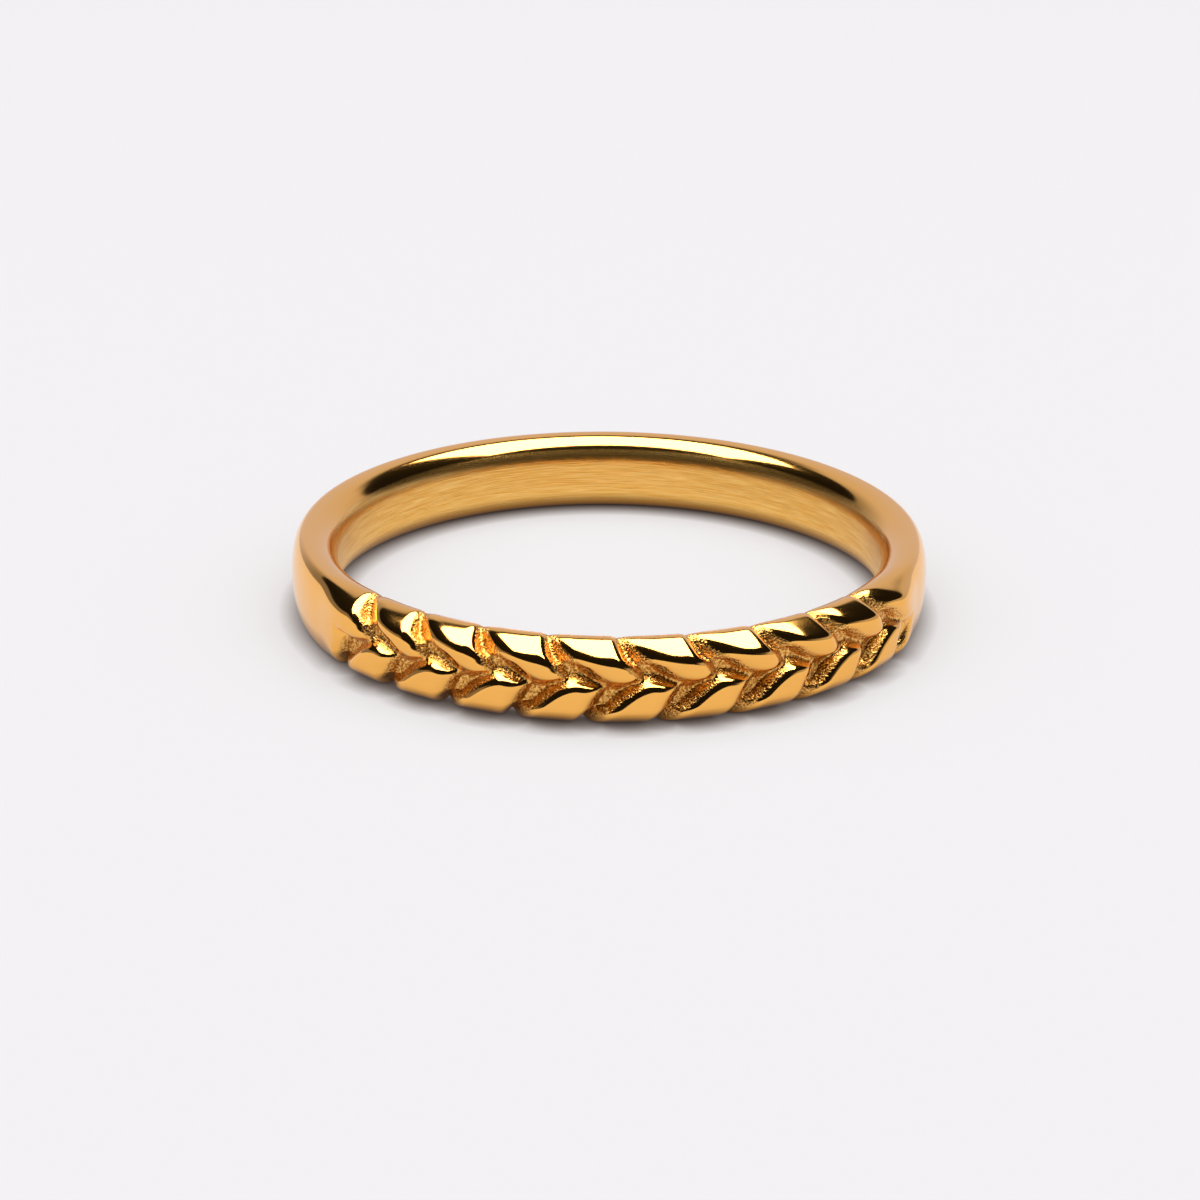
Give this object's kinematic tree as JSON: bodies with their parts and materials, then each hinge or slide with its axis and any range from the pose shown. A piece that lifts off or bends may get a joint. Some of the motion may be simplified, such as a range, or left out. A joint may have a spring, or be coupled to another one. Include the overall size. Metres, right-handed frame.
{
  "type": "laurel leaf finger ring",
  "caption": "Finger ring with a rounded plain band and two rows of raised laurel leaves across its front.",
  "frame": {"origin": "on the ring's axis, at the height of the surface that the ring lies on", "axes": "+Z along the ring's axis, up as it lies flat; -Y from the axis towards the middle of the leaves; +X towards the side that the leaf tips point to"},
  "size_m": [0.0202, 0.0204, 0.0026],
  "materials": {
    "gold": "polished gold-coloured plating, brushed on the bevels and inside the finger hole, grainy as cast in the valleys between the leaves"
  },
  "bodies": {
    "root": {"laurel_ring": "gold"}
  },
  "joints": []
}
